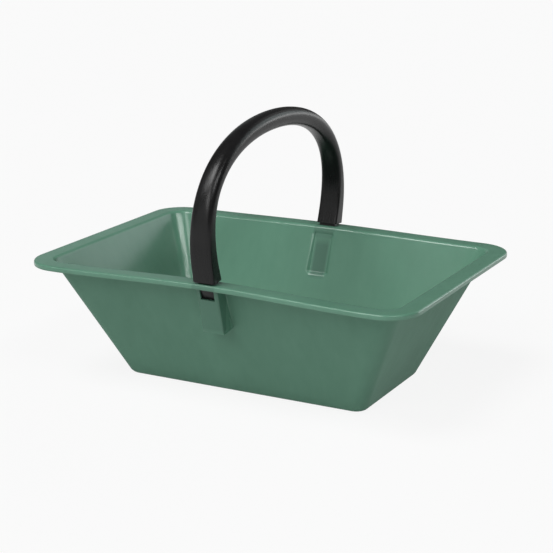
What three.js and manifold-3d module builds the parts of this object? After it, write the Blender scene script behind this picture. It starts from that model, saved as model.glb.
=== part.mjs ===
// Grape picker's basket: a moulded plastic tub with a snap-in arch handle.
// Millimetres, +Z up, X along the tub, Y across it under the handle.
// The origin is the middle of the underside of the base.

import * as THREE from "three";
import { mergeVertices } from "three/addons/utils/BufferGeometryUtils.js";
import Module from "manifold-3d";

const wasm = await Module();
wasm.setup();

// Rim: outer size at the corners, and how the long sides rise and bow in towards their middle
const RIM_LENGTH = 470;
const RIM_WIDTH = 324;
const RIM_HEIGHT = 143;
const RIM_CORNER_RADIUS = 39;
const RIM_RISE = 3;
const RIM_BOW = 4;
const RIM_EDGE_RADIUS = 2.4;
const FLANGE_WIDTH = 21;
const FLANGE_THICKNESS = 3;
const FLANGE_ROOT_RADIUS = 3;
const INNER_RIM_RADIUS = 5;
const LIP_DEPTH = 6;
const LIP_THICKNESS = 2.8;
const LIP_EDGE_RADIUS = 1.2;

// Walls and base
const WALL_LEAN = THREE.MathUtils.degToRad(24.7);
const WALL_THICKNESS = 2.5;
const WALL_CORNER_RADIUS = 22;
const FLOOR_THICKNESS = 3;
const BASE_CORNER_RADIUS = 13.5;
const BASE_EDGE_RADIUS = 9;
const FLOOR_EDGE_RADIUS = 8;
const LEAST_CORNER_RADIUS = 2;

// Handle sockets: leaning tubes moulded on the middle of each long wall, open below.
// Behind each one the wall has a shallow recess on the inside
const SOCKET_LEAN = THREE.MathUtils.degToRad(15.3);
const SOCKET_SETBACK = 5.1;
const SOCKET_WIDTH = 26;
const SOCKET_BACK = 5.2;
const SOCKET_LENGTH = 62;
const SOCKET_WALL = 2.5;
const SOCKET_ROOF = 2.9;
const SOCKET_EDGE_RADIUS = 0.9;
const UNDERSIDE_RISE = 3.6;
const RECESS_WIDTH = 24;
const RECESS_HEAD = 7;
const RECESS_LEDGE = 92.5;
const RECESS_SHALLOW = 1.6;
const RECESS_DEEP = 3;
const RECESS_REACH = 6;
const WINDOW_WIDTH = 17.2;
const WINDOW_BOTTOM = 20.4;

// Handle: legs in line with the sockets, then one Bezier half on each side up to the grip
const HANDLE_HEIGHT = 309.3;
const LEG_INSET = 5.5;
const LEG_STRAIGHT = 14.4;
const LEG_PULL = 97;
const GRIP_PULL = 102;
const LEG_WIDTH = 26.2;
const LEG_THICKNESS = 15.6;
const LEG_SQUARENESS = 10;
const GRIP_WIDTH = 22.6;
const GRIP_THICKNESS = 21.1;
const GRIP_SQUARENESS = 2.4;
const FOOT_FLARE = 2.6;
const FLARE_LENGTH = 26;
const FOOT_LIFT = 1.2;
const FOOT_TILT = THREE.MathUtils.degToRad(5);

// Tongues under the feet, each with a spring catch in front of it
const FIT = 0.3;
const TONGUE_THICKNESS = 3;
const TONGUE_LENGTH = 50;
const TONGUE_ROOT = 8;
const NECK_DEPTH = 2;
const HEEL_HEIGHT = 4;
const CATCH_THICKNESS = 2.2;
const CATCH_CLEARANCE = 0.5;
const CATCH_GAP = 2.8;
const CATCH_RECESS = 0.8;
const CATCH_FACE = 5;
const HOOK_CLEARANCE = 0.4;
const HOOK_HEADROOM = 0.9;

// Smoothness
const CORNER_STEPS = 8;
const LONG_SIDE_STEPS = 12;
const SECTION_POINTS = 20;
const HALF_ARCH_STEPS = 22;

const BLEND_START = 0.1;
const BLEND_END = 0.8;
const SOFT_START = 0.03;
const SOFT_END = 0.42;

// Places that follow from the sizes
const RIM_TOP = RIM_HEIGHT + RIM_RISE;
const UNDERSIDE = RIM_HEIGHT - FLANGE_THICKNESS;
const WALL_SHIFT = WALL_THICKNESS / Math.cos(WALL_LEAN);
const SIDE_HALF = RIM_LENGTH / 2 - RIM_CORNER_RADIUS;
const SOCKET_FACE = RIM_WIDTH / 2 - RIM_BOW - SOCKET_SETBACK;
const SLOT_FRONT = SOCKET_WALL;
const CATCH_FRONT = SOCKET_WALL + CATCH_CLEARANCE;
const CATCH_BACK = CATCH_FRONT + CATCH_THICKNESS;
const TONGUE_FRONT = CATCH_BACK + CATCH_GAP;
const TONGUE_BACK = TONGUE_FRONT + TONGUE_THICKNESS;
const SLOT_BACK = TONGUE_BACK + FIT;
const TONGUE_WIDTH = SOCKET_WIDTH - 2 * SOCKET_WALL - 4 * FIT;
const CATCH_WIDTH = WINDOW_WIDTH - 2 * HOOK_CLEARANCE;
const CATCH_BOTTOM = TONGUE_LENGTH - HEEL_HEIGHT - FIT;

// Closed solids from geometry and back
function solidOf(geometry) {
  const bare = geometry.clone();
  bare.deleteAttribute("normal");
  bare.deleteAttribute("uv");
  const merged = mergeVertices(bare, 1e-4);
  const vertProperties = new Float32Array(merged.attributes.position.array);
  const triVerts = new Uint32Array(merged.index.array);
  return new wasm.Manifold(new wasm.Mesh({ numProp: 3, vertProperties, triVerts }));
}

function geometryOf(solid) {
  const mesh = solid.getMesh();
  const geometry = new THREE.BufferGeometry();
  geometry.setAttribute("position", new THREE.BufferAttribute(mesh.vertProperties, 3));
  geometry.setIndex(new THREE.BufferAttribute(mesh.triVerts, 1));
  geometry.computeVertexNormals();
  return geometry;
}

// A skin through loops of equal count, closed by a fan at each end
function loft(loops, firstCentre, lastCentre) {
  const count = loops[0].length;
  const points = [...loops.flat(), firstCentre, lastCentre];
  const first = points.length - 2;
  const last = points.length - 1;
  const faces = [];
  for (let j = 0; j < count; j += 1) {
    const next = (j + 1) % count;
    faces.push(first, next, j);
    for (let i = 0; i < loops.length - 1; i += 1) {
      const low = i * count;
      const high = low + count;
      faces.push(low + j, low + next, high + next);
      faces.push(low + j, high + next, high + j);
    }
    const top = (loops.length - 1) * count;
    faces.push(last, top + j, top + next);
  }
  const geometry = new THREE.BufferGeometry().setFromPoints(points);
  geometry.setIndex(faces);
  return geometry;
}

// A flat outline of Y and Z points drawn out along X, centred on X = 0
const ALONG_X = new THREE.Matrix4().makeBasis(
  new THREE.Vector3(0, 1, 0),
  new THREE.Vector3(0, 0, 1),
  new THREE.Vector3(1, 0, 0),
);

function slab(outline, width, edge = 0) {
  const geometry = new THREE.ExtrudeGeometry(new THREE.Shape(outline), {
    depth: width - 2 * edge,
    bevelEnabled: edge > 0,
    bevelThickness: edge,
    bevelSize: edge,
    bevelOffset: -edge,
    bevelSegments: 2,
  });
  geometry.translate(0, 0, edge - width / 2);
  return solidOf(geometry.applyMatrix4(ALONG_X));
}

// An outline with an arc at each corner that has a radius
function rounded(corners) {
  const outline = [];
  corners.forEach(({ at, radius, steps }, i) => {
    if (!radius) {
      outline.push(at);
      return;
    }
    const back = corners.at(i - 1).at.clone().sub(at).normalize();
    const ahead = corners[(i + 1) % corners.length].at.clone().sub(at).normalize();
    const half = Math.acos(back.dot(ahead)) / 2;
    const middle = back.clone().add(ahead).normalize();
    const centre = at.clone().addScaledVector(middle, radius / Math.sin(half));
    const start = at.clone().addScaledVector(back, radius / Math.tan(half)).sub(centre);
    const turn = Math.sign(start.cross(middle.clone().negate())) * (Math.PI - 2 * half);
    for (let k = 0; k <= steps; k += 1) {
      const spoke = start.clone().rotateAround(new THREE.Vector2(), (turn * k) / steps);
      outline.push(spoke.add(centre));
    }
  });
  return outline;
}

// The tub shell

// Inset from the rim's edge of the outer wall at a height
function wallInset(height) {
  return FLANGE_WIDTH + (UNDERSIDE - height) * Math.tan(WALL_LEAN);
}

// Corner radius in plan: it shrinks down the wall and grows out along the flange
function planRadius(inset, height) {
  const wall = wallInset(height);
  const wallRadius = THREE.MathUtils.lerp(BASE_CORNER_RADIUS, WALL_CORNER_RADIUS, height / UNDERSIDE);
  if (inset < wall) {
    return THREE.MathUtils.lerp(RIM_CORNER_RADIUS, wallRadius, inset / wall);
  }
  return Math.max(wallRadius - (inset - wall), LEAST_CORNER_RADIUS);
}

// Share of the way from the floor up to the rim
function climb(height) {
  return Math.max(height - FLOOR_THICKNESS, 0) / (RIM_HEIGHT - FLOOR_THICKNESS);
}

// Y and Z at a level on the inner face of a long wall's middle, moved that far outwards
function onWall(level, outwards) {
  const rise = RIM_RISE / (RIM_HEIGHT - FLOOR_THICKNESS);
  const height = FLOOR_THICKNESS + (level - FLOOR_THICKNESS) / (1 + rise);
  const half = RIM_WIDTH / 2 - RIM_BOW * climb(height);
  return new THREE.Vector2(half - wallInset(height) - WALL_SHIFT + outwards, level);
}

// How far a long side is on its way to its middle: 1 there, 0 at the rim's corners
function sideSwell(x) {
  return Math.cos((Math.PI / 2) * Math.min(Math.abs(x) / SIDE_HALF, 1)) ** 2;
}

function tubLoop(inset, height) {
  const radius = planRadius(inset, height);
  const halfLength = RIM_LENGTH / 2 - inset;
  const halfWidth = RIM_WIDTH / 2 - inset;
  const share = climb(height);
  const flat = [];
  const straight = halfLength - radius;
  [0, 1, 2, 3].forEach((quarter) => {
    const sideX = quarter === 0 || quarter === 3 ? 1 : -1;
    const sideY = quarter < 2 ? 1 : -1;
    for (let k = 0; k <= CORNER_STEPS; k += 1) {
      const angle = (Math.PI / 2) * (quarter + k / CORNER_STEPS);
      const x = sideX * straight + radius * Math.cos(angle);
      const y = sideY * (halfWidth - radius) + radius * Math.sin(angle);
      flat.push([x, y]);
    }
    for (let k = 1; k < LONG_SIDE_STEPS && quarter % 2 === 0; k += 1) {
      flat.push([sideX * straight * (1 - (2 * k) / LONG_SIDE_STEPS), sideY * halfWidth]);
    }
  });
  return flat.map(([x, y]) => {
    const swell = share * sideSwell(x);
    return new THREE.Vector3(x, y * (1 - (RIM_BOW * swell) / halfWidth), height + RIM_RISE * swell);
  });
}

function tubShell() {
  const at = (inset, height) => new THREE.Vector2(inset, height);
  const innerInset = (height) => wallInset(height) + WALL_SHIFT;
  const middle = RIM_WIDTH / 2;
  const section = rounded([
    { at: at(middle, 0) },
    { at: at(wallInset(0), 0), radius: BASE_EDGE_RADIUS, steps: 4 },
    { at: at(wallInset(UNDERSIDE), UNDERSIDE), radius: FLANGE_ROOT_RADIUS, steps: 3 },
    { at: at(LIP_THICKNESS, UNDERSIDE), radius: LIP_EDGE_RADIUS, steps: 2 },
    { at: at(LIP_THICKNESS, RIM_HEIGHT - LIP_DEPTH), radius: LIP_EDGE_RADIUS, steps: 2 },
    { at: at(0, RIM_HEIGHT - LIP_DEPTH), radius: LIP_EDGE_RADIUS, steps: 2 },
    { at: at(0, RIM_HEIGHT), radius: RIM_EDGE_RADIUS, steps: 4 },
    { at: at(innerInset(RIM_HEIGHT), RIM_HEIGHT), radius: INNER_RIM_RADIUS, steps: 5 },
    { at: at(innerInset(FLOOR_THICKNESS), FLOOR_THICKNESS), radius: FLOOR_EDGE_RADIUS, steps: 4 },
    { at: at(middle, FLOOR_THICKNESS) },
  ]).slice(1, -1);
  const loops = section.map((point) => tubLoop(point.x, point.y));
  const floorMiddle = new THREE.Vector3(0, 0, FLOOR_THICKNESS);
  return solidOf(loft(loops, new THREE.Vector3(), floorMiddle));
}

// The sockets, measured from where the outer face meets the rim's top:
// inward is square to that face and down is along it

function inSocket(inward, down) {
  const sin = Math.sin(SOCKET_LEAN);
  const cos = Math.cos(SOCKET_LEAN);
  return new THREE.Vector2(
    SOCKET_FACE - inward * cos - down * sin,
    RIM_TOP + inward * sin - down * cos,
  );
}

// The point that far in from the face and that far below the rim's top
function belowRim(inward, drop) {
  const down = (drop + inward * Math.sin(SOCKET_LEAN)) / Math.cos(SOCKET_LEAN);
  return inSocket(inward, down);
}

function bothSides(solid) {
  return solid.add(solid.rotate([0, 0, 180]));
}

function socketBody() {
  const skin = FLANGE_THICKNESS - SOCKET_ROOF;
  const lowest = inSocket(0, SOCKET_LENGTH);
  return slab(
    [
      lowest,
      belowRim(0, skin),
      onWall(RIM_TOP - skin, 1.5 * WALL_SHIFT),
      onWall(RIM_TOP - RECESS_HEAD, WALL_SHIFT / 2),
      onWall(lowest.y + UNDERSIDE_RISE, WALL_SHIFT / 2),
    ],
    SOCKET_WIDTH,
    SOCKET_EDGE_RADIUS,
  );
}

function socketCuts() {
  const below = inSocket(SOCKET_WALL, SOCKET_LENGTH + SOCKET_WALL);
  const cavity = slab(
    [
      below,
      belowRim(SOCKET_WALL, SOCKET_ROOF),
      onWall(RIM_TOP - SOCKET_ROOF, SOCKET_BACK),
      onWall(below.y, SOCKET_BACK),
    ],
    SOCKET_WIDTH - 2 * SOCKET_WALL,
  );
  const slot = slab(
    [
      belowRim(SLOT_FRONT, 2 * SOCKET_ROOF),
      belowRim(SLOT_FRONT, -SOCKET_ROOF),
      belowRim(SLOT_BACK, -SOCKET_ROOF),
      belowRim(SLOT_BACK, 2 * SOCKET_ROOF),
    ],
    TONGUE_WIDTH + 2 * FIT,
  );
  const outside = -SOCKET_WALL;
  const inside = 2 * SOCKET_WALL;
  const window = slab(
    [
      inSocket(outside, WINDOW_BOTTOM),
      belowRim(outside, SOCKET_ROOF),
      belowRim(inside, SOCKET_ROOF),
      inSocket(inside, WINDOW_BOTTOM),
    ],
    WINDOW_WIDTH,
  );
  const head = RIM_TOP - RECESS_HEAD;
  const recess = slab(
    [
      onWall(RECESS_LEDGE, RECESS_DEEP),
      onWall(head, RECESS_SHALLOW),
      onWall(head, -RECESS_REACH),
      onWall(RECESS_LEDGE, -RECESS_REACH),
    ],
    RECESS_WIDTH,
  );
  return cavity.add(slot).add(window).add(recess);
}

function tub() {
  return tubShell().add(bothSides(socketBody())).subtract(bothSides(socketCuts()));
}

// The handle

// Centre line of the rear half, from inside the socket's mouth up to the middle of the grip
function halfArch() {
  const start = inSocket(LEG_INSET, 0);
  const along = new THREE.Vector2(Math.sin(SOCKET_LEAN), Math.cos(SOCKET_LEAN));
  const bend = start.clone().addScaledVector(along, LEG_STRAIGHT);
  const crown = new THREE.Vector2(0, HANDLE_HEIGHT - GRIP_THICKNESS / 2);
  const path = new THREE.CurvePath();
  path.add(new THREE.LineCurve(start, bend));
  path.add(
    new THREE.CubicBezierCurve(
      bend,
      bend.clone().addScaledVector(along, LEG_PULL),
      new THREE.Vector2(GRIP_PULL, crown.y),
      crown,
    ),
  );
  return path;
}

// A rounded-square section across the centre line: X by the line's own normal
function handleLoop(centre, tangent, share, height) {
  const blend = THREE.MathUtils.smoothstep(share, BLEND_START, BLEND_END);
  const flare = FOOT_FLARE * Math.max(1 - height / FLARE_LENGTH, 0) ** 2;
  const width = THREE.MathUtils.lerp(LEG_WIDTH, GRIP_WIDTH, blend);
  const thickness = THREE.MathUtils.lerp(LEG_THICKNESS, GRIP_THICKNESS, blend) + flare;
  const soft = THREE.MathUtils.smoothstep(share, SOFT_START, SOFT_END);
  const power = THREE.MathUtils.lerp(2 / LEG_SQUARENESS, 2 / GRIP_SQUARENESS, soft);
  const swing = (value) => Math.sign(value) * Math.abs(value) ** power;
  const inward = new THREE.Vector3(0, -tangent.y, tangent.x);
  return Array.from({ length: SECTION_POINTS }, (_, k) => {
    const angle = (2 * Math.PI * (k + 0.5)) / SECTION_POINTS;
    const across = (width / 2) * swing(Math.cos(angle));
    const deep = (thickness / 2) * swing(Math.sin(angle));
    return new THREE.Vector3(across, centre.x, centre.y).addScaledVector(inward, deep);
  });
}

function handleArch() {
  const path = halfArch();
  const rear = [];
  for (let k = 0; k <= HALF_ARCH_STEPS; k += 1) {
    const share = k / HALF_ARCH_STEPS;
    const centre = path.getPointAt(share);
    rear.push(handleLoop(centre, path.getTangentAt(share), share, share * path.getLength()));
  }
  const mirrored = ({ x, y, z }) => new THREE.Vector3(x, -y, z);
  const front = rear.slice(0, -1).map((loop) => loop.map(mirrored));
  const loops = [...front, ...rear.reverse()];
  const foot = path.getPointAt(0);
  return solidOf(
    loft(loops, new THREE.Vector3(0, -foot.x, foot.y), new THREE.Vector3(0, foot.x, foot.y)),
  );
}

// Everything under the sole of a foot, which lifts a little towards the inside of the tub
function underFoot() {
  const edge = RIM_WIDTH / 2;
  const sole = RIM_TOP + FOOT_LIFT;
  const reach = 3 * LEG_THICKNESS;
  return slab(
    [
      new THREE.Vector2(edge, sole - reach),
      new THREE.Vector2(edge, sole),
      new THREE.Vector2(edge - reach, sole + reach * Math.tan(FOOT_TILT)),
      new THREE.Vector2(edge - reach, sole - reach),
    ],
    2 * LEG_WIDTH,
  );
}

// Neck in the slot, tongue behind the catch and the heel that the catch springs from
function tongue() {
  const neckFront = SLOT_FRONT + FIT;
  const heelTop = TONGUE_LENGTH - HEEL_HEIGHT;
  return slab(
    [
      inSocket(neckFront, -TONGUE_ROOT),
      inSocket(TONGUE_BACK, -TONGUE_ROOT),
      inSocket(TONGUE_BACK, TONGUE_LENGTH),
      inSocket(CATCH_FRONT, TONGUE_LENGTH),
      inSocket(CATCH_FRONT, heelTop),
      inSocket(TONGUE_FRONT, heelTop),
      belowRim(TONGUE_FRONT, NECK_DEPTH),
      belowRim(neckFront, NECK_DEPTH),
    ],
    TONGUE_WIDTH,
  );
}

function handle() {
  return handleArch().subtract(bothSides(underFoot())).add(bothSides(tongue()));
}

// A spring catch: a finger up from the heel, with a hook that fills the window under the flange
function springCatch() {
  const hook = FLANGE_THICKNESS + HOOK_HEADROOM;
  const hookTop = belowRim(CATCH_RECESS, hook);
  const hookBottom = hookTop.clone().add(inSocket(0, CATCH_FACE)).sub(inSocket(0, 0));
  return slab(
    [
      belowRim(CATCH_BACK, hook),
      hookTop,
      hookBottom,
      inSocket(CATCH_FRONT, WINDOW_BOTTOM - HOOK_CLEARANCE),
      inSocket(CATCH_FRONT, CATCH_BOTTOM),
      inSocket(CATCH_BACK, CATCH_BOTTOM),
    ],
    CATCH_WIDTH,
  );
}

// Finishes
const greenPlastic = () => new THREE.MeshStandardMaterial({ color: 0x55735f, roughness: 0.42, metalness: 0 });
const blackPlastic = () => new THREE.MeshStandardMaterial({ color: 0x232324, roughness: 0.38, metalness: 0 });

function piece(name, solid, material) {
  const mesh = new THREE.Mesh(geometryOf(solid), material);
  mesh.name = name;
  return mesh;
}

const basket = new THREE.Group();
basket.add(piece("tub", tub(), greenPlastic()));
basket.add(piece("handle", handle(), blackPlastic()));

const rearCatch = springCatch();
basket.add(piece("rear_catch", rearCatch, blackPlastic()));
const frontCatch = piece("front_catch", rearCatch, blackPlastic());
frontCatch.rotation.z = Math.PI;
basket.add(frontCatch);

export default basket;
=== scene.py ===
"""Looks of a picking basket: a moulded tub, its snap-in arch handle and two spring catches."""

import math

import bmesh
import bpy
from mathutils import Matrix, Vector


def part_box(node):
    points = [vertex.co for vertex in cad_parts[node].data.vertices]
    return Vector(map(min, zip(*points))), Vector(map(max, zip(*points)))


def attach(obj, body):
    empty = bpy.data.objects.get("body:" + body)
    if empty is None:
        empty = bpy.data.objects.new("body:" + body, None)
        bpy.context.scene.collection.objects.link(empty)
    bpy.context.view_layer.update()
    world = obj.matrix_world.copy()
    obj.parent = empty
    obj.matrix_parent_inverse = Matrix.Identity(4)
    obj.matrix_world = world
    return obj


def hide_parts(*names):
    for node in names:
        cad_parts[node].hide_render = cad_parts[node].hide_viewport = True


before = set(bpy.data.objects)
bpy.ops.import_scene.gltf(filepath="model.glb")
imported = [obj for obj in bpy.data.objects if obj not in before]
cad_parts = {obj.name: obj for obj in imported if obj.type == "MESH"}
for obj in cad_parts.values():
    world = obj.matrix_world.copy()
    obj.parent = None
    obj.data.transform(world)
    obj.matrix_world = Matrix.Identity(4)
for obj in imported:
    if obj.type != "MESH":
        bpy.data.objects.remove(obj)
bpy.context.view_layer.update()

bl_info = {
    "name": "Picking Basket",
    "version": (1, 0, 0),
    "blender": (4, 5, 0),
    "location": "View3D > Sidebar > Basket",
    "description": "Builds a moulded picking tub, its arch handle, its catches and a studio",
    "category": "Object",
}

MM = 0.001
TUB_LOW, TUB_HIGH = (Vector(corner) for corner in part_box("tub"))
RIM_SIZE = (TUB_HIGH - TUB_LOW) / MM

# How finely the skins are divided
CORNER_STEPS = 14
END_STEPS = 16
FAR_STEPS = 12
WALL_ROW = 9 * MM
SECTION_POINTS = 48
ARCH_STEPS = 64
CURVE_STEPS = 8 * ARCH_STEPS
LEG_RINGS = 6
LEG_START = 0.06
SOLE_RINGS = 4
ARC_STEPS = 6

# Stations along a long side in millimetres: from its middle inside, from the socket's side outside
INNER_STATIONS = (*range(11), 17.5, 18.2, 19.2, 20.6, 22.5, 25, 29, 35, 43, 56)
OUTER_STATIONS = (5.5, 6.2, 7.2, 8.5, 10.5, 13, 17, 23, 31, 43)
SOCKET_STATIONS = 10
SOCKET_MARGIN = 2 * MM

# Small distances that keep the cuts clean, and how edges are picked
RECESS_OVERLAP = 0.15 * MM
RECESS_LEAST = RECESS_OVERLAP / 5
NEAR = 0.05 * MM
ROOT_INWARD = 4 * MM
SHARP_ANGLE = math.radians(32)

# Painted shade darkening the green in the recesses and on the sockets, as pairs between which it
# comes or goes:
# out from the tub's middle, up from the floor, and aside from the socket's middle
SHADE_WALL = (98 * MM, 100 * MM)
SHADE_OUTSIDE = (131 * MM, 132 * MM)
SHADE_FOOT = (86 * MM, 92 * MM)
SHADE_HEAD = (124 * MM, 136 * MM)
SHADE_BACK = (7 * MM, 11 * MM)
SHADE_FACE = (13 * MM, 14.5 * MM)
# How strongly the painted shade darkens the sockets' outer faces and sides
FACE_PAINTED_SHADE = 0.55

# How strongly each trace shows in the plastics
CLOUD_DEEP = 0.6
STREAK_DEEP = 0.4
SCUFF_PALE = 0.05
SPECK_PALE = 0.08
DRAG_PALE = 0.35
RUB_PALE = 0.30
STREAK_ROUGH = 0.08
GRAIN_ROUGH = 0.06
SCUFF_ROUGH = 0.04
CLOUD_ROUGH = 0.10
DRAG_ROUGH = 0.10
STREAK_RELIEF = 0.6
DRAG_RELIEF = 1.2
DRAG_FADE = (170 * MM, 260 * MM)
GRAIN_DEPTH = 0.05 * MM
NOISE_ROUGHNESS = 0.55
GREEN_REFRACTION = 1.49
BLACK_REFRACTION = 1.34

# The studio: degrees along the rows of lights, and what the floor and the camera are like
RIGHT_ROW = range(43, 84, 8)
CROWN_ROW = ((147, 1.0), (158, 0.55), (169, 0.4), (180, 0.25))
WHITE = (1.0, 1.0, 1.0, 1.0)
PAPER_ROUGHNESS = 0.7
PAPER_SPECULAR = 0.2
SENSOR_WIDTH = 36.0


# Sizes and colours that a user may change


def length(name, description, millimetres):
    """A property in metres from a size in millimetres."""
    return bpy.props.FloatProperty(
        name=name,
        description=description,
        default=millimetres * MM,
        min=0.0,
        precision=4,
        unit="LENGTH",
    )


def angle(name, description, degrees):
    """A property for an angle, given in degrees."""
    return bpy.props.FloatProperty(
        name=name, description=description, default=math.radians(degrees), subtype="ANGLE"
    )


def number(name, description, default):
    """A property for a plain number."""
    return bpy.props.FloatProperty(name=name, description=description, default=default)


def portion(name, description, default):
    """A property for a share from 0 to 1."""
    return bpy.props.FloatProperty(
        name=name, description=description, default=default, min=0.0, max=1.0, subtype="FACTOR"
    )


def colour(name, description, rgb):
    """A property for a linear colour."""
    return bpy.props.FloatVectorProperty(
        name=name, description=description, default=rgb, size=3, min=0.0, max=1.0, subtype="COLOR"
    )


class TubSizes(bpy.types.PropertyGroup):
    """Sizes of the moulded tub."""

    rim_length: length("Rim length", "Outer length of the rim", RIM_SIZE.x)
    rim_width: length("Rim width", "Outer width of the rim at its corners", RIM_SIZE.y)
    rim_height: length("Rim height", "Height of the rim at its corners", 143)
    rim_corner: length("Rim corner", "Corner radius of the rim in plan", 39)
    rim_rise: length("Rim rise", "How far a long side rises towards its middle", 3)
    rim_bow: length("Rim bow", "How far a long side bows in at its middle", 4)
    rim_edge: length("Rim edge", "Radius of the rim's outer top edge", 2.4)
    flange_width: length("Flange width", "From the rim's edge to the wall", 21)
    flange_thickness: length("Flange thickness", "Thickness of the flange", 3)
    flange_root: length("Flange root", "Fillet between the wall and the flange", 3)
    inner_rim: length("Inner rim", "Radius from the flange down into the tub", 5)
    lip_depth: length("Lip depth", "Depth of the lip that hangs from the flange", 6)
    lip_thickness: length("Lip thickness", "Thickness of the lip", 2.8)
    lip_edge: length("Lip edge", "Radius of the lip's edges", 1.2)
    wall_lean: angle("Wall lean", "Lean of the walls from upright", 24.7)
    wall_thickness: length("Wall thickness", "Thickness of the walls", 2.5)
    wall_corner: length("Wall corner", "Outer corner radius of the wall under the flange", 22)
    floor_thickness: length("Floor thickness", "Thickness of the base", 3)
    base_corner: length("Base corner", "Outer corner radius in plan at the base", 13.5)
    base_edge: length("Base edge", "Radius between the walls and the underside", 9)
    floor_edge: length("Floor edge", "Radius between the walls and the floor", 8)
    least_corner: length("Least corner", "Smallest corner radius in plan", 2)


class SocketSizes(bpy.types.PropertyGroup):
    """Sizes of the sockets moulded on the long walls and of the recesses behind them."""

    lean: angle("Lean", "Lean of the sockets from upright", 15.3)
    setback: length("Setback", "From the rim's edge to the outer face", 5.1)
    width: length("Width", "Width along the wall", 26)
    back: length("Back", "From the wall's inner face out to the cavity", 5.2)
    rise: length("Rise", "How far the underside rises towards the wall", 3.6)
    drop: length("Drop", "Length below the rim", 62)
    wall: length("Wall", "Thickness of the socket's walls", 2.5)
    roof: length("Roof", "Thickness of the roof under the foot", 2.9)
    skin: length("Skin", "Step between the flange's top and the socket's", 0.15)
    edge: length("Edge", "Radius of the outer edges", 2.2)
    root: length("Root", "Slope where the sides meet the wall", 2.0)
    recess_width: length("Recess width", "Width of the recess's flat back", 21.6)
    recess_deep: length("Recess depth", "Depth of the recess at its ledge", 3)
    recess_shallow: length("Recess depth above", "Depth of the recess near the rim", 1.6)
    recess_ledge: length("Recess ledge", "Height of the ledge at the recess's back", 93.7)
    recess_full: length("Recess head", "From the rim's top to the top of the flat back", 9)
    recess_top: length("Recess top", "From the rim's top to where the recess starts", 4)
    recess_flank: angle("Recess flank", "Flare of the recess's sides and ledge", 50)
    recess_mouth: length("Recess mouth", "Radius round the mouth of the recess", 4)
    recess_corner: length("Recess corner", "Fillet round the back of the recess", 1.2)
    recess_bend: length("Recess bend", "Radius where the flat back turns out to the rim", 7.1)
    window_width: length("Window width", "Width of the window for the catch", 17.2)
    window_bottom: length("Window bottom", "From the rim to the sill of the window", 20.4)


class HandleSizes(bpy.types.PropertyGroup):
    """Sizes of the arch handle and its tongues."""

    height: length("Height", "Height of the top of the grip", 309.3)
    inset: length("Inset", "From the socket's outer face to the middle of a leg", 5.5)
    straight: length("Straight", "Straight length at the foot of each leg", 14.4)
    leg_pull: length("Leg pull", "How far the curve follows the leg", 97)
    grip_pull: length("Grip pull", "How far the curve follows the grip", 102)
    leg_width: length("Leg width", "Width of a leg along the tub", 26.2)
    leg_thickness: length("Leg thickness", "Thickness of a leg across the tub", 15.6)
    leg_square: number("Leg squareness", "Power of the leg's rounded section", 10.0)
    grip_width: length("Grip width", "Width of the grip along the tub", 22.6)
    grip_thickness: length("Grip thickness", "Thickness of the grip", 21.1)
    grip_square: number("Grip squareness", "Power of the grip's rounded section", 2.4)
    blend_start: portion("Blend start", "Share of the arch where the leg starts to change", 0.1)
    blend_end: portion("Blend end", "Share of the arch where the grip is reached", 0.8)
    soft_start: portion("Soft start", "Share of the arch where the leg starts to round", 0.03)
    soft_end: portion("Soft end", "Share of the arch where the leg is as round as the grip", 0.42)
    flare: length("Flare", "Extra thickness at the foot", 2.6)
    flare_length: length("Flare length", "Length of the flare", 26)
    foot_lift: length("Foot lift", "Gap between the rim and the sole's outer edge", 1.2)
    foot_tilt: angle("Foot tilt", "How the sole lifts towards the tub's inside", 5)
    sole_edge: length("Sole edge", "Radius round the sole", 0.5)
    neck_front: length("Neck front", "From the socket's outer face to the neck", 2.8)
    neck_depth: length("Neck depth", "How far the neck reaches below the rim", 2)
    tongue_front: length("Tongue front", "From the socket's outer face to the tongue", 8)
    tongue_back: length("Tongue back", "From the socket's outer face to the tongue's back", 11)
    tongue_width: length("Tongue width", "Width of the tongue", 19.8)
    tongue_length: length("Tongue length", "Length below the rim", 50)
    tongue_root: length("Tongue root", "Length inside the leg", 8)
    heel_height: length("Heel height", "Height of the heel that carries the catch", 4)
    slot_width: length("Slot width", "Width of the slot for the neck", 20.4)
    slot_back: length("Slot back", "From the socket's outer face to the slot's back", 11.3)


class CatchSizes(bpy.types.PropertyGroup):
    """Sizes of the spring catches behind the windows."""

    width: length("Width", "Width of a catch", 16.4)
    front: length("Front", "From the socket's outer face to the finger", 3)
    back: length("Back", "From the socket's outer face to the finger's back", 5.2)
    recess: length("Recess", "From the socket's outer face to the hook's face", 0.8)
    face: length("Face", "Height of the hook's face", 5)
    hook: length("Hook", "From the rim's top to the hook's top", 3.9)
    ramp_end: length("Ramp end", "From the rim to the end of the ramp, along the socket", 20)
    bottom: length("Bottom", "From the rim to the root of the finger", 45.7)
    edge: length("Edge", "Radius of the edges", 0.3)


class Finishes(bpy.types.PropertyGroup):
    """Colours and gloss of the two plastics."""

    green: colour("Green", "Main colour of the tub", (0.106, 0.244, 0.170))
    green_deep: colour("Deep green", "Colour of the pigment's darker flow", (0.093, 0.221, 0.152))
    green_pale: colour("Pale green", "Colour of fine scuffs and specks", (0.180, 0.330, 0.252))
    # Painted shade: colour laid in the recesses and on the sockets' faces and sides to darken them
    # as if in shadow
    green_painted_shade: colour("Shade", "Colour where a black tongue shows through", (0.060, 0.145, 0.102))
    green_rough: portion("Green roughness", "Roughness of the rim and inside", 0.20)
    outer_rough: portion("Outer roughness", "Roughness of the tub's outside", 0.70)
    black: colour("Black", "Main colour of the handle and catches", (0.0070, 0.0070, 0.0072))
    black_pale: colour("Grey", "Colour of rubbed places and drag lines", (0.0170, 0.0170, 0.0175))
    black_rough: portion("Black roughness", "Roughness of the handle", 0.28)


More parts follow.
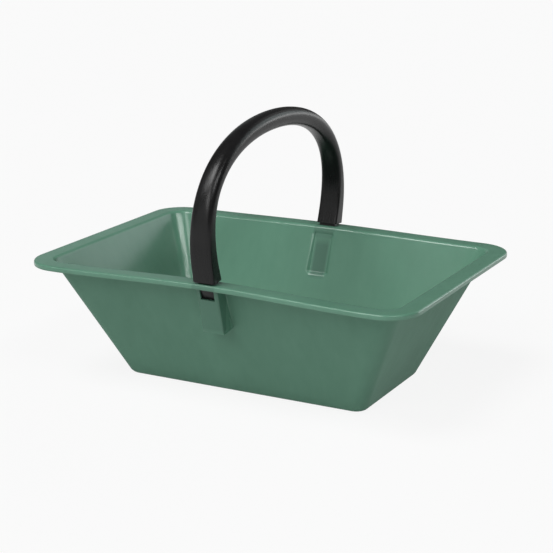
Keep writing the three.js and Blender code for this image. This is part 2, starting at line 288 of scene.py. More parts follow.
class StudioLook(bpy.types.PropertyGroup):
    """Camera, floor and light."""

    lens: number("Lens", "Focal length in millimetres", 102.51)
    azimuth: angle("Azimuth", "Camera's turn from the front, towards the right", 27.77)
    elevation: angle("Elevation", "Camera's height above the horizon", 15.65)
    distance: length("Distance", "From the camera to its aim", 1802.15)
    aim_side: length("Aim side", "Camera's aim along the tub", 4.87)
    aim_height: length("Aim height", "Camera's aim above the floor", 117.13)
    floor_size: length("Floor size", "Length of the floor's sides", 30000)
    floor_colour: colour("Floor colour", "Colour of the floor", (0.62, 0.62, 0.62))
    veil: portion("Veil", "Share of plain white in the floor as seen", 0.88)
    sky: number("Sky", "Level of the light from all round", 0.04)
    sky_gleam: portion("Sky gleam", "Share of the white sky in reflections", 0.04)
    floor_gleam: portion("Floor gleam", "Share of the white floor in reflections", 0.75)
    top: number("Top light", "Strength of the light from high on the left", 1.7)
    front: number("Front light", "Strength of the light from the front", 0.72)
    fill: number("Fill light", "Strength of the wide low light from the front", 0.36)
    key: number("Key light", "Strength of the small light from the front left", 0.30)
    left: number("Left light", "Strength of the wide low light from the left", 0.20)
    right: number("Right light", "Strength of each small light in the row on the right", 0.15)
    low: number("Low light", "Strength of the low light from the back right", 0.36)
    crown: number("Crown light", "Strength of the first low light in the row behind", 0.17)
    rim: number("Rim light", "Strength of the light behind that edges the rim", 0.08)
    back: number("Back light", "Strength of the faint light from the back left", 0.03)
    cool: colour("Cool light", "Colour of the low light and the back light", (0.88, 1.0, 1.0))
    white: colour("White light", "Colour of the other lights", (1.0, 1.0, 1.0))


# Outlines and places


def rounded(corners):
    """An open outline of (place, radius, steps), with an arc at each corner between its ends."""
    outline = [corners[0][0]]
    for before, (place, radius, steps), after in zip(corners, corners[1:], corners[2:]):
        back = (before[0] - place).normalized()
        ahead = (after[0] - place).normalized()
        half = back.angle(ahead) / 2
        centre = place + (back + ahead).normalized() * (radius / math.sin(half))
        start = place + back * (radius / math.tan(half)) - centre
        end = place + ahead * (radius / math.tan(half)) - centre
        turn = math.atan2(start.cross(end), start.dot(end))
        first = math.atan2(start.y, start.x)
        for k in range(steps + 1):
            spoke = first + turn * k / steps
            outline.append(centre + radius * Vector((math.cos(spoke), math.sin(spoke))))
    outline.append(corners[-1][0])
    return outline


def spread(outline, spacing):
    """The outline with points added so that none lie further apart than the spacing."""
    filled = [outline[0]]
    for start, end in zip(outline, outline[1:]):
        parts = math.ceil((end - start).length / spacing)
        filled += [start.lerp(end, k / parts) for k in range(1, parts + 1)]
    return filled


def ease(value, start, end):
    """A smooth step from 0 at the start to 1 at the end."""
    share = min(max((value - start) / (end - start), 0.0), 1.0)
    return share * share * (3 - 2 * share)


def lerp(start, end, share):
    """The value that far from the start to the end."""
    return start + (end - start) * share


class Layout:
    """Where the tub's skin, its sockets and the legs run."""

    def __init__(self, tub, socket):
        self.tub = tub
        self.socket = socket
        self.rim_top = tub.rim_height + tub.rim_rise
        self.underside = tub.rim_height - tub.flange_thickness
        self.wall_shift = tub.wall_thickness / math.cos(tub.wall_lean)
        self.side_half = tub.rim_length / 2 - tub.rim_corner
        self.face = tub.rim_width / 2 - tub.rim_bow - socket.setback
        self.sin = math.sin(socket.lean)
        self.cos = math.cos(socket.lean)

    def wall_inset(self, height):
        """Inset of the outer wall from the rim's edge."""
        return self.tub.flange_width + (self.underside - height) * math.tan(self.tub.wall_lean)

    def inner_inset(self, height):
        """Inset of the inner wall from the rim's edge."""
        return self.wall_inset(height) + self.wall_shift

    def plan_radius(self, inset, height):
        """Corner radius in plan: it shrinks down the wall and grows out along the flange."""
        tub = self.tub
        wall = self.wall_inset(height)
        radius = lerp(tub.base_corner, tub.wall_corner, height / self.underside)
        if inset < wall:
            return lerp(tub.rim_corner, radius, inset / wall)
        return max(radius - (inset - wall), tub.least_corner)

    def swell(self, x):
        """1 at the middle of a long side and 0 at the rim's corners."""
        return math.cos(math.pi / 2 * min(abs(x) / self.side_half, 1)) ** 2

    def climb(self, height):
        """0 at the floor and 1 at the rim."""
        floor = self.tub.floor_thickness
        return max(height - floor, 0) / (self.tub.rim_height - floor)

    def in_socket(self, inward, down):
        """Y and Z of a place in the rear socket: inward from its outer face, down from the rim."""
        return Vector(
            (
                self.face - inward * self.cos - down * self.sin,
                self.rim_top + inward * self.sin - down * self.cos,
            )
        )

    def below_rim(self, inward, drop):
        """Y and Z of the place that far in from the outer face and that far under the rim."""
        return self.in_socket(inward, (drop + inward * self.sin) / self.cos)

    def socket_measure(self, point):
        """How far inward and down a point lies in the socket on its side."""
        out = self.face - abs(point.y)
        under = self.rim_top - point.z
        return out * self.cos - under * self.sin, out * self.sin + under * self.cos

    def wall_at(self, level):
        """Y of the inner face of the rear wall's middle at a level."""
        tub = self.tub
        floor = tub.floor_thickness
        height = floor + (level - floor) / (1 + tub.rim_rise / (tub.rim_height - floor))
        return tub.rim_width / 2 - self.inner_inset(height) - tub.rim_bow * self.climb(height)

    def on_wall(self, level, outwards=0.0):
        """Y and Z on the inner face of the rear wall's middle, moved that far outwards."""
        return Vector((self.wall_at(level) + outwards, level))

    def near_stations(self, inside):
        """Places along a long side near its middle, with none where the socket's edges run."""
        if inside:
            return [step * MM for step in INNER_STATIONS]
        half = self.socket.width / 2
        face = [(half - SOCKET_MARGIN) * k / SOCKET_STATIONS for k in range(SOCKET_STATIONS + 1)]
        return face + [half + step * MM for step in OUTER_STATIONS]

    def ring(self, inset, height, inside):
        """One closed ring of the tub's skin, counter-clockwise from above."""
        tub = self.tub
        radius = self.plan_radius(inset, height)
        half_length = tub.rim_length / 2 - inset
        half_width = tub.rim_width / 2 - inset
        straight = half_length - radius
        side = half_width - radius
        near = self.near_stations(inside)
        far = [lerp(near[-1], straight, k / FAR_STEPS) for k in range(1, FAR_STEPS)]
        right = near[1:] + far
        stations = [*reversed(right), 0.0, *(-x for x in right)]
        flat = []
        for quarter, (along, across) in enumerate(((1, 1), (-1, 1), (-1, -1), (1, -1))):
            for k in range(CORNER_STEPS + 1):
                spoke = math.pi / 2 * (quarter + k / CORNER_STEPS)
                flat.append(
                    (
                        along * straight + radius * math.cos(spoke),
                        across * side + radius * math.sin(spoke),
                    )
                )
            if quarter % 2:
                shares = [1 - 2 * k / END_STEPS for k in range(1, END_STEPS)]
                flat += [(along * half_length, across * side * share) for share in shares]
            else:
                flat += [(along * x, across * half_width) for x in stations]
        climb = self.climb(height)
        points = []
        for x, y in flat:
            swell = climb * self.swell(x)
            y *= 1 - tub.rim_bow * swell / half_width
            points.append(Vector((x, y, height + tub.rim_rise * swell)))
        return points


# Meshes


def mesh_object(name, bm):
    """A linked object with the mesh, its faces turned outwards."""
    bmesh.ops.recalc_face_normals(bm, faces=bm.faces)
    mesh = bpy.data.meshes.new(name)
    bm.to_mesh(mesh)
    bm.free()
    made = bpy.data.objects.new(name, mesh)
    bpy.context.scene.collection.objects.link(made)
    return made


def skin(name, rings):
    """A closed skin through rings of equal count."""
    bm = bmesh.new()
    rows = [[bm.verts.new(point) for point in ring] for ring in rings]
    count = len(rows[0])
    for low, high in zip(rows, rows[1:]):
        for j in range(count):
            k = (j + 1) % count
            bm.faces.new((low[j], low[k], high[k], high[j]))
    bm.faces.new(reversed(rows[0]))
    bm.faces.new(rows[-1])
    return mesh_object(name, bm)


def both_sides(name, rings):
    """A closed skin through the rings on the rear side, and again turned to the front side."""
    made = skin(name, rings)
    turned = skin(f"{name}_front", [[Vector((-p.x, -p.y, p.z)) for p in ring] for ring in rings])
    bm = bmesh.new()
    bm.from_mesh(made.data)
    bm.from_mesh(turned.data)
    bm.to_mesh(made.data)
    bm.free()
    worn = turned.data
    bpy.data.objects.remove(turned)
    bpy.data.meshes.remove(worn)
    return made


def slabs(name, outline, width, sides=(1, -1)):
    """The Y and Z outline drawn out along X, on the rear side (1) and on the front side (-1)."""
    bm = bmesh.new()
    for side in sides:
        ends = [
            [bm.verts.new((x, side * place.x, place.y)) for place in outline]
            for x in (-width / 2, width / 2)
        ]
        for j, k in zip(range(len(outline)), [*range(1, len(outline)), 0]):
            bm.faces.new((ends[0][j], ends[0][k], ends[1][k], ends[1][j]))
        bm.faces.new(ends[0])
        bm.faces.new(ends[1])
    return mesh_object(name, bm)


def carve(base, operation, tool):
    """Joins the tool to the base or cuts it away, and drops the tool."""
    modifier = base.modifiers.new(operation.title(), "BOOLEAN")
    modifier.operation = operation
    modifier.solver = "EXACT"
    modifier.object = tool
    graph = bpy.context.evaluated_depsgraph_get()
    mesh = bpy.data.meshes.new_from_object(base.evaluated_get(graph))
    mesh.name = base.name
    base.modifiers.clear()
    worn = (base.data, tool.data)
    base.data = mesh
    bpy.data.objects.remove(tool)
    for old in worn:
        bpy.data.meshes.remove(old)


def soften(made, chosen, radius, segments=3):
    """Rounds the edges that the test picks."""
    bm = bmesh.new()
    bm.from_mesh(made.data)
    edges = [edge for edge in bm.edges if edge.is_manifold and chosen(edge)]
    if not edges:
        raise RuntimeError(f"{made.name} has no edge to round")
    bmesh.ops.bevel(
        bm,
        geom=edges,
        offset=radius,
        offset_type="OFFSET",
        segments=segments,
        profile=0.5,
        affect="EDGES",
        clamp_overlap=True,
    )
    bm.to_mesh(made.data)
    bm.free()


def finish(made, body, slot, plastic_look, *nodes):
    """Shades a piece, gives it its finish and sets it on its body in place of its solids."""
    made.data.shade_smooth()
    made.data.set_sharp_from_angle(angle=SHARP_ANGLE)
    made.data.materials.clear()
    made.data.materials.append(plastic_look)
    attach(made, body)
    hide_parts(*nodes)


# Shaders


class Flow:
    """A socket whose value takes part in Python arithmetic."""

    def __init__(self, recipe, socket):
        self.recipe = recipe
        self.socket = socket

    def math(self, operation, *values):
        """A Math node over the values."""
        return self.recipe.node("Math", {"operation": operation}, dict(enumerate(values)))

    def __add__(self, other):
        return self.math("ADD", self, other)

    def __radd__(self, other):
        return self.math("ADD", other, self)

    def __sub__(self, other):
        return self.math("SUBTRACT", self, other)

    def __rsub__(self, other):
        return self.math("SUBTRACT", other, self)

    def __mul__(self, other):
        return self.math("MULTIPLY", self, other)

    def __rmul__(self, other):
        return self.math("MULTIPLY", other, self)

    def __abs__(self):
        return self.math("ABSOLUTE", self)


class Recipe:
    """A node tree under construction."""

    def __init__(self, tree):
        self.tree = tree
        tree.nodes.clear()

    def node(self, kind, settings=None, sockets=None, out=0):
        """Makes a node, sets it up, feeds its sockets and returns one of its outputs."""
        made = self.tree.nodes.new("ShaderNode" + kind)
        for key, value in (settings or {}).items():
            setattr(made, key, value)
        for key, value in (sockets or {}).items():
            if isinstance(value, Flow):
                self.tree.links.new(value.socket, made.inputs[key])
            else:
                made.inputs[key].default_value = value
        return Flow(self, made.outputs[out]) if made.outputs else None

    def noise(self, where, scale, detail=2.0, stretch=None):
        """Noise from 0 to 1 at that many turns per metre, stretched along the axes if asked."""
        if stretch:
            where = self.node("Mapping", None, {"Vector": where, "Scale": stretch})
        return self.node(
            "TexNoise",
            None,
            {"Vector": where, "Scale": scale, "Detail": detail, "Roughness": NOISE_ROUGHNESS},
        )

    def above(self, value, low, high):
        """0 below the low level, 1 above the high one."""
        return self.node("MapRange", None, {"Value": value, "From Min": low, "From Max": high})

    def blend(self, share, first, second):
        """A colour that goes from the first to the second."""
        return self.node("Mix", {"data_type": "RGBA"}, {0: share, 6: first, 7: second}, out=2)


def opaque(rgb):
    """A colour property with full alpha."""
    return (*rgb, 1.0)


def material(name):
    """An empty node material and its recipe."""
    made = bpy.data.materials.new(name)
    made.use_nodes = True
    return made, Recipe(made.node_tree)


def plastic(recipe, base, roughness, height, refraction):
    """A plastic shader whose colour, roughness and fine relief come from its nodes."""
    relief = recipe.node(
        "Bump", None, {"Height": height, "Strength": 1.0, "Distance": GRAIN_DEPTH}
    )
    shader = recipe.node(
        "BsdfPrincipled",
        None,
        {"Base Color": base, "Roughness": roughness, "Normal": relief, "IOR": refraction},
    )
    recipe.node("OutputMaterial", None, {"Surface": shader})


def green_plastic(look):
    """Satin green: cloudy pigment, faint flow streaks up the walls, fine grain, small scuffs and
    painted shade.
    """
    made, recipe = material("tub_green")
    where = recipe.node("TexCoord", out="Object")
    cloud = recipe.noise(where, scale=11.0, detail=3.0)
    streak = recipe.noise(where, scale=1.0, detail=3.0, stretch=(85.0, 85.0, 5.0))
    speck = recipe.above(recipe.noise(where, scale=2100.0, detail=1.0), low=0.66, high=0.78)
    grain = recipe.noise(where, scale=1500.0)
    scratch = recipe.noise(where, scale=1.0, stretch=(40.0, 320.0, 420.0))
    patch = recipe.above(recipe.noise(where, scale=24.0), low=0.56, high=0.74)
    scuff = recipe.above(scratch, low=0.62, high=0.74) * patch
    deep = recipe.above(CLOUD_DEEP * cloud + STREAK_DEEP * streak, low=0.36, high=0.66)
    pale = SCUFF_PALE * scuff + SPECK_PALE * speck
    base = recipe.blend(deep, opaque(look.green), opaque(look.green_deep))
    base = recipe.blend(pale, base, opaque(look.green_pale))
    # Painted shade: darkens the recesses and the sockets' faces and sides
    base = recipe.blend(painted_shade_share(recipe, where), base, opaque(look.green_painted_shade))
    facing = recipe.node("TexCoord", out="Normal")
    upward = recipe.node("SeparateXYZ", None, {"Vector": facing}, out="Z")
    outside = recipe.above(0 - upward, low=0.08, high=0.34)
    roughness = look.green_rough + (look.outer_rough - look.green_rough) * outside
    roughness = roughness + STREAK_ROUGH * (streak - 0.5) + GRAIN_ROUGH * (grain - 0.5)
    roughness = roughness + SCUFF_ROUGH * scuff
    plastic(recipe, base, roughness, grain + STREAK_RELIEF * streak, GREEN_REFRACTION)
    return made


def painted_shade_share(recipe, where):
    """How far the painted shade covers: most in the recess, less on the socket's face and sides."""
    aside, out, rise = (
        abs(recipe.node("SeparateXYZ", None, {"Vector": where}, out=axis)) for axis in "XYZ"
    )
    outside = recipe.above(out, *SHADE_OUTSIDE)
    wall = recipe.above(out, *SHADE_WALL)
    low = recipe.above(rise, *SHADE_FOOT)
    behind = 1 - recipe.above(aside, *SHADE_BACK)
    high = 1 - recipe.above(rise, *SHADE_HEAD)
    front = 1 - recipe.above(aside, *SHADE_FACE)
    inner = behind * high * (1 - outside)
    return wall * low * (inner + FACE_PAINTED_SHADE * front * outside)


def black_plastic(look):
    """Satin black: drag lines down the legs, cloudy gloss and fine grain."""
    made, recipe = material("handle_black")
    where = recipe.node("TexCoord", out="Object")
    cloud = recipe.noise(where, scale=26.0, detail=3.0)
    grain = recipe.noise(where, scale=1700.0)
    lines = recipe.noise(where, scale=1.0, stretch=(900.0, 6.0, 6.0))
    rise = recipe.node("SeparateXYZ", None, {"Vector": where}, out="Z")
    low = 1 - recipe.above(rise, *DRAG_FADE)
    drag = recipe.above(lines, low=0.50, high=0.72) * low
    rub = recipe.above(cloud, low=0.48, high=0.72)
    pale = DRAG_PALE * drag + RUB_PALE * rub
    base = recipe.blend(pale, opaque(look.black), opaque(look.black_pale))
    roughness = look.black_rough + CLOUD_ROUGH * (cloud - 0.5) + DRAG_ROUGH * drag
    roughness = roughness + GRAIN_ROUGH * (grain - 0.5)
    plastic(recipe, base, roughness, grain + DRAG_RELIEF * drag, BLACK_REFRACTION)
    return made


# Operators


class BASKET_OT_tub(bpy.types.Operator):
    """Build the moulded tub with its rim, walls and sockets"""

    bl_idname = "basket.tub"
    bl_label = "Tub"

    def execute(self, context):
        scene = context.scene
        tub, socket, handle = scene.basket_tub, scene.basket_socket, scene.basket_handle
        layout = Layout(tub, socket)
        made = skin("moulded_tub", self.rings(layout))
        middle = layout.wall_shift / 2
        lowest = layout.in_socket(0, socket.drop)
        bodies = [
            lowest,
            layout.below_rim(0, socket.skin),
            layout.on_wall(layout.rim_top - socket.skin, 3 * middle),
            layout.on_wall(layout.rim_top - socket.recess_full, middle),
            layout.on_wall(lowest.y + socket.rise, middle),
        ]
        carve(made, "UNION", slabs("sockets", bodies, socket.width))
        carve(made, "DIFFERENCE", both_sides("recesses", self.recess(layout)))
        below = layout.in_socket(socket.wall, socket.drop + socket.wall)
        cavity = [
            below,
            layout.below_rim(socket.wall, socket.roof),
            layout.on_wall(layout.rim_top - socket.roof, socket.back),
            layout.on_wall(below.y, socket.back),
        ]
        carve(made, "DIFFERENCE", slabs("cavities", cavity, socket.width - 2 * socket.wall))
        slot = [
            layout.below_rim(socket.wall, 2 * socket.roof),
            layout.below_rim(socket.wall, -socket.roof),
            layout.below_rim(handle.slot_back, -socket.roof),
            layout.below_rim(handle.slot_back, 2 * socket.roof),
        ]
        carve(made, "DIFFERENCE", slabs("slots", slot, handle.slot_width))
        window = [
            layout.in_socket(-socket.wall, socket.window_bottom),
            layout.below_rim(-socket.wall, socket.roof),
            layout.below_rim(2 * socket.wall, socket.roof),
            layout.in_socket(2 * socket.wall, socket.window_bottom),
        ]
        carve(made, "DIFFERENCE", slabs("windows", window, socket.window_width))
        self.round_sockets(made, layout)
        finish(made, "basket", "green_plastic", green_plastic(scene.basket_finish), "tub")
        return {"FINISHED"}

    def rings(self, layout):
        """The tub's skin from the underside over the rim and down to the floor inside."""
        tub = layout.tub
        middle = tub.rim_width / 2
        lip_foot = tub.rim_height - tub.lip_depth
        floor_inset = layout.inner_inset(tub.floor_thickness)
        # Each corner's inset and height, its radius and its steps
        corners = [
            (Vector((middle, 0)), 0, 0),
            (Vector((layout.wall_inset(0), 0)), tub.base_edge, 8),
            (Vector((tub.flange_width, layout.underside)), tub.flange_root, 6),
            (Vector((tub.lip_thickness, layout.underside)), tub.lip_edge, 4),
            (Vector((tub.lip_thickness, lip_foot)), tub.lip_edge, 4),
            (Vector((0, lip_foot)), tub.lip_edge, 6),
            (Vector((0, tub.rim_height)), tub.rim_edge, 9),
            (Vector((layout.inner_inset(tub.rim_height), tub.rim_height)), tub.inner_rim, 10),
            (Vector((floor_inset, tub.floor_thickness)), tub.floor_edge, 8),
            (Vector((middle, tub.floor_thickness)), 0, 0),
        ]
        # The outer skin ends with the rim's outer top edge, and the inner skin goes on from there
        rim = 6
        outer = spread(rounded(corners[: rim + 2])[1:-1], 2 * WALL_ROW)
        inner = spread(rounded(corners[rim:])[1:-1], WALL_ROW)
        return [layout.ring(place.x, place.y, False) for place in outer] + [
            layout.ring(place.x, place.y, True) for place in inner
        ]

    def recess(self, layout):
        """Rings of the hollow behind the rear socket, from under its ledge up to the rim."""
        socket = layout.socket
        flare = math.tan(socket.recess_flank)
        ledge, top = socket.recess_ledge, layout.rim_top - socket.recess_top
        head = layout.rim_top - socket.recess_full
        foot = ledge - socket.recess_deep * flare
        # Each corner's level and depth, its radius and its steps
        profile = [
            (Vector((foot - socket.recess_mouth, 0)), 0, 0),
            (Vector((foot, 0)), socket.recess_mouth, ARC_STEPS),
            (Vector((ledge, socket.recess_deep)), socket.recess_corner, ARC_STEPS),
            (Vector((head, socket.recess_shallow)), socket.recess_bend, ARC_STEPS),
            (Vector((top, 0)), 0, 0),
        ]
        rings = []
        for level, depth in spread(rounded(profile), WALL_ROW / 2):
            depth = max(depth, RECESS_LEAST)
            flank = depth / math.cos(socket.recess_flank)
            side = socket.recess_width / 2
            mouth = side + depth * flare
            reach = mouth + socket.recess_mouth
            half = rounded(
                [
                    (Vector((reach, 0)), 0, 0),
                    (Vector((mouth, 0)), min(socket.recess_mouth, flank), ARC_STEPS),
                    (Vector((side, depth)), min(socket.recess_corner, flank), ARC_STEPS),
                    (Vector((0, depth)), 0, 0),
                ]
            )
            plan = [Vector((reach, -3 * socket.recess_mouth)), *half]
            plan += [Vector((-place.x, place.y)) for place in reversed(plan[:-1])]
            wall = layout.wall_at(level) - RECESS_OVERLAP
            rings.append([Vector((place.x, wall + place.y, level)) for place in plan])
        return rings

    def round_sockets(self, made, layout):
        """Rounds the sockets' outer edges and slopes where their sides meet the wall."""
        socket = layout.socket
        half = socket.width / 2
        ceiling = layout.rim_top - socket.roof - NEAR

        def on_side(edge):
            return all(abs(abs(vert.co.x) - half) < NEAR for vert in edge.verts)

        def inward(edge):
            return [layout.socket_measure(vert.co)[0] for vert in edge.verts]

        def on_corner(edge):
            return on_side(edge) and all(abs(place) < NEAR for place in inward(edge))

        def on_root(edge):
            behind = all(place > ROOT_INWARD for place in inward(edge))
            low = all(vert.co.z < ceiling for vert in edge.verts)
            hollow = edge.calc_face_angle_signed() < -SHARP_ANGLE / 2
            return on_side(edge) and behind and low and hollow

        soften(made, on_corner, socket.edge)
        soften(made, on_root, socket.root, 1)


class BASKET_OT_handle(bpy.types.Operator):
    """Build the arch handle with its feet and tongues"""

    bl_idname = "basket.handle"
    bl_label = "Handle"

    def execute(self, context):
        scene = context.scene
        handle = scene.basket_handle
        layout = Layout(scene.basket_tub, scene.basket_socket)
        rear = self.rings(layout, handle)
        front = [[Vector((point.x, -point.y, point.z)) for point in ring] for ring in rear[:-1]]
        made = skin("arch_handle", front + rear[::-1])
        heel_top = handle.tongue_length - handle.heel_height
        tongue = [
            layout.in_socket(handle.neck_front, -handle.tongue_root),
            layout.in_socket(handle.tongue_back, -handle.tongue_root),
            layout.in_socket(handle.tongue_back, handle.tongue_length),
            layout.in_socket(scene.basket_catch.front, handle.tongue_length),
            layout.in_socket(scene.basket_catch.front, heel_top),
            layout.in_socket(handle.tongue_front, heel_top),
            layout.below_rim(handle.tongue_front, handle.neck_depth),
            layout.below_rim(handle.neck_front, handle.neck_depth),
        ]
        carve(made, "UNION", slabs("tongues", tongue, handle.tongue_width))
        finish(made, "basket", "black_plastic", black_plastic(scene.basket_finish), "handle")
        return {"FINISHED"}

    def path(self, layout, handle):
        """Places along the rear half's centre line, from the socket's mouth to the crown."""
        start = layout.in_socket(handle.inset, 0)
        along = Vector((layout.sin, layout.cos))
        bend = start + handle.straight * along
        crown = Vector((0, handle.height - handle.grip_thickness / 2))
        pulls = (bend, bend + handle.leg_pull * along, Vector((handle.grip_pull, crown.y)), crown)
        curve = []
        for k in range(CURVE_STEPS + 1):
            t = k / CURVE_STEPS
            weights = ((1 - t) ** 3, 3 * t * (1 - t) ** 2, 3 * t * t * (1 - t), t**3)
            curve.append(sum((w * p for w, p in zip(weights, pulls)), Vector((0, 0))))
        run = [0.0]
        for one, other in zip(curve, curve[1:]):
            run.append(run[-1] + (other - one).length)
        return start, along, curve, run

    def section(self, handle, share, height, shrink=0.0):
        """A rounded-square ring as offsets across the handle and inward."""
        blend = ease(share, handle.blend_start, handle.blend_end)
        flare = handle.flare * max(1 - max(height, 0) / handle.flare_length, 0) ** 2
        width = lerp(handle.leg_width, handle.grip_width, blend) - 2 * shrink
        thickness = lerp(handle.leg_thickness, handle.grip_thickness, blend) + flare - 2 * shrink
        soft = ease(share, handle.soft_start, handle.soft_end)
        power = lerp(2 / handle.leg_square, 2 / handle.grip_square, soft)
        offsets = []
        for k in range(SECTION_POINTS):
            spoke = 2 * math.pi * (k + 0.5) / SECTION_POINTS
            across = math.copysign(abs(math.cos(spoke)) ** power, math.cos(spoke)) * width / 2
            deep = math.copysign(abs(math.sin(spoke)) ** power, math.sin(spoke)) * thickness / 2
            offsets.append((across, deep))
        return offsets

    def rings(self, layout, handle):
        """Rings of the rear half, from the sole of its foot up to the crown."""
        start, along, curve, run = self.path(layout, handle)
        total = handle.straight + run[-1]
        tilt = math.tan(handle.foot_tilt)
        edge = layout.tub.rim_width / 2
        sole = layout.rim_top + handle.foot_lift

        def placed(centre, tangent, across, deep):
            return Vector((across, centre.x - tangent.y * deep, centre.y + tangent.x * deep))

        def leg_ring(share, shrink=0.0, lift=0.0):
            ring = []
            offsets = self.section(handle, 0.0, share * handle.straight, shrink)
            for across, deep in offsets:
                out = edge - start.x + deep * layout.cos
                rise = sole + out * tilt - start.y - deep * layout.sin
                low = rise / (layout.cos + tilt * layout.sin) + lift
                centre = start + along * lerp(low, handle.straight, share)
                ring.append(placed(centre, along, across, deep))
            return ring

        rings = []
        for k in range(SOLE_RINGS, 0, -1):
            spoke = math.pi / 2 * k / SOLE_RINGS
            shrink = handle.sole_edge * (1 - math.cos(spoke))
            rings.append(leg_ring(0.0, shrink, handle.sole_edge * (1 - math.sin(spoke))))
        rings += [leg_ring(lerp(LEG_START, 1.0, k / LEG_RINGS)) for k in range(LEG_RINGS)]
        for k in range(ARCH_STEPS + 1):
            reach = run[-1] * k / ARCH_STEPS
            j = next((i for i, gone in enumerate(run) if gone >= reach), len(run) - 1)
            centre = curve[j]
            tangent = (curve[min(j + 1, len(curve) - 1)] - curve[max(j - 1, 0)]).normalized()
            if k == ARCH_STEPS:
                tangent = Vector((-1, 0))
            height = handle.straight + reach
            offsets = self.section(handle, height / total, height)
            rings.append([placed(centre, tangent, across, deep) for across, deep in offsets])
        return rings


class BASKET_OT_catches(bpy.types.Operator):
    """Build the two spring catches that fill the windows"""

    bl_idname = "basket.catches"
    bl_label = "Catches"

    def execute(self, context):
        scene = context.scene
        layout = Layout(scene.basket_tub, scene.basket_socket)
        finish_black = bpy.data.materials.get("handle_black") or black_plastic(scene.basket_finish)
        for name, side in (("rear_catch", 1), ("front_catch", -1)):
            made = self.catch(layout, scene.basket_catch, f"spring_{name}", side)
            finish(made, name, "black_plastic", finish_black, name)
        return {"FINISHED"}

    def catch(self, layout, sizes, name, side):
        """A finger up from the heel, with a hook under the flange."""
        hook_top = layout.below_rim(sizes.recess, sizes.hook)
        _, down = layout.socket_measure(Vector((0, hook_top.x, hook_top.y)))
        outline = [
            layout.below_rim(sizes.back, sizes.hook),
            hook_top,
            layout.in_socket(sizes.recess, down + sizes.face),
            layout.in_socket(sizes.front, sizes.ramp_end),
            layout.in_socket(sizes.front, sizes.bottom),
            layout.in_socket(sizes.back, sizes.bottom),
        ]
        made = slabs(name, outline, sizes.width, (side,))
        soften(made, lambda edge: True, sizes.edge)
        return made


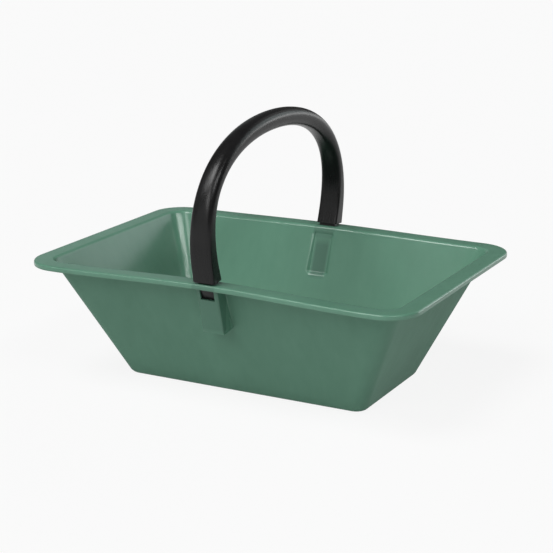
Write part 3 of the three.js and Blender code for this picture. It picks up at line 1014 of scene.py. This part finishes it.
class BASKET_OT_stage(bpy.types.Operator):
    """Build the floor, the lights and the camera"""

    bl_idname = "basket.stage"
    bl_label = "Studio"

    def execute(self, context):
        scene = context.scene
        look = scene.basket_studio
        self.floor(look)
        self.sky(scene, look)
        # Name, azimuth, elevation and spread in degrees, strength, colour
        lights = (
            ("top_light", 330, 65, 25, look.top, look.white),
            ("front_light", 0, 36, 25, look.front, look.white),
            ("fill_light", 350, 9, 50, look.fill, look.white),
            ("key_light", 318, 46, 11, look.key, look.white),
            ("left_light", 300, 15, 60, look.left, look.white),
            *(
                (f"right_light_{turn}", turn, 47, 9, look.right, look.white)
                for turn in RIGHT_ROW
            ),
            ("low_light", 150, 18, 30, look.low, look.cool),
            *(
                (f"crown_light_{turn}", turn, 3, 12, look.crown * share, look.white)
                for turn, share in CROWN_ROW
            ),
            ("rim_light", 168, 28, 30, look.rim, look.white),
            ("back_light", 222, 16, 24, look.back, look.cool),
        )
        for name, azimuth, elevation, wide, strength, tint in lights:
            away = self.towards(math.radians(azimuth), math.radians(elevation))
            lamp = self.light(scene, name, look.distance * away)
            lamp.angle = math.radians(wide)
            lamp.energy = strength
            lamp.color = tint
        self.camera(scene, look)
        scene.view_settings.view_transform = "Standard"
        return {"FINISHED"}

    def floor(self, look):
        """A pale floor that shows as white and keeps the object's shadow."""
        bm = bmesh.new()
        bmesh.ops.create_grid(bm, x_segments=1, y_segments=1, size=look.floor_size / 2)
        floor = mesh_object("studio_floor", bm)
        made, recipe = material("floor_white")
        paper = recipe.node(
            "BsdfPrincipled",
            None,
            {
                "Base Color": opaque(look.floor_colour),
                "Roughness": PAPER_ROUGHNESS,
                "Specular IOR Level": PAPER_SPECULAR,
            },
        )
        white = recipe.node("Emission", None, {"Color": WHITE, "Strength": 1.0})
        shown = self.shown(recipe, look.floor_gleam) * look.veil
        mixed = recipe.node("MixShader", None, {0: shown, 1: paper, 2: white})
        recipe.node("OutputMaterial", None, {"Surface": mixed})
        floor.data.materials.append(made)

    def shown(self, recipe, gleam):
        """1 on rays that show the background in the picture or in glass, less in reflections."""
        camera = recipe.node("LightPath", out="Is Camera Ray")
        glossy = gleam * recipe.node("LightPath", out="Is Glossy Ray")
        through = recipe.node("LightPath", out="Is Transmission Ray")
        return camera.math("MAXIMUM", camera.math("MAXIMUM", camera, glossy), through)

    def sky(self, scene, look):
        """Faint even light from all round, seen as white."""
        world = bpy.data.worlds.new("studio_sky")
        world.use_nodes = True
        recipe = Recipe(world.node_tree)
        even = recipe.node("Background", None, {"Color": WHITE, "Strength": look.sky})
        white = recipe.node("Background", None, {"Color": WHITE, "Strength": 1.0})
        shown = self.shown(recipe, look.sky_gleam)
        mixed = recipe.node("MixShader", None, {0: shown, 1: even, 2: white})
        recipe.node("OutputWorld", None, {"Surface": mixed})
        scene.world = world

    def light(self, scene, name, place):
        """A light that shines from the side where the place lies."""
        lamp = bpy.data.lights.new(name, "SUN")
        made = bpy.data.objects.new(name, lamp)
        made.location = place
        made.rotation_euler = place.to_track_quat("Z", "Y").to_euler()
        scene.collection.objects.link(made)
        return lamp

    def towards(self, azimuth, elevation):
        """The direction at an azimuth from the front towards the right, and at an elevation."""
        level = math.cos(elevation)
        across, ahead = level * math.sin(azimuth), -level * math.cos(azimuth)
        return Vector((across, ahead, math.sin(elevation)))

    def camera(self, scene, look):
        """The camera at the photograph's viewing angle."""
        camera = bpy.data.cameras.new("studio_camera")
        camera.lens = look.lens
        camera.sensor_width = SENSOR_WIDTH
        made = bpy.data.objects.new("studio_camera", camera)
        aim = Vector((look.aim_side, 0, look.aim_height))
        back = self.towards(look.azimuth, look.elevation)
        made.location = aim + back * look.distance
        made.rotation_euler = back.to_track_quat("Z", "Y").to_euler()
        scene.collection.objects.link(made)
        scene.camera = made


class BASKET_PT_panel(bpy.types.Panel):
    """Lists what can be built"""

    bl_idname = "BASKET_PT_panel"
    bl_label = "Picking Basket"
    bl_space_type = "VIEW_3D"
    bl_region_type = "UI"
    bl_category = "Basket"

    def draw(self, context):
        for operator in OPERATORS:
            self.layout.operator(operator.bl_idname)


GROUPS = {
    "basket_tub": TubSizes,
    "basket_socket": SocketSizes,
    "basket_handle": HandleSizes,
    "basket_catch": CatchSizes,
    "basket_finish": Finishes,
    "basket_studio": StudioLook,
}
OPERATORS = (BASKET_OT_tub, BASKET_OT_handle, BASKET_OT_catches, BASKET_OT_stage)


def register():
    """Registers the classes and hangs their settings on the scene."""
    for made in (*GROUPS.values(), *OPERATORS, BASKET_PT_panel):
        bpy.utils.register_class(made)
    for name, group in GROUPS.items():
        setattr(bpy.types.Scene, name, bpy.props.PointerProperty(type=group))


def unregister():
    """Takes the settings and the classes away again."""
    for name in GROUPS:
        delattr(bpy.types.Scene, name)
    for made in (BASKET_PT_panel, *OPERATORS, *GROUPS.values()):
        bpy.utils.unregister_class(made)


def main():
    """Builds the basket and its studio."""
    register()
    bpy.ops.basket.tub()
    bpy.ops.basket.handle()
    bpy.ops.basket.catches()
    bpy.ops.basket.stage()


if __name__ == "__main__":
    main()
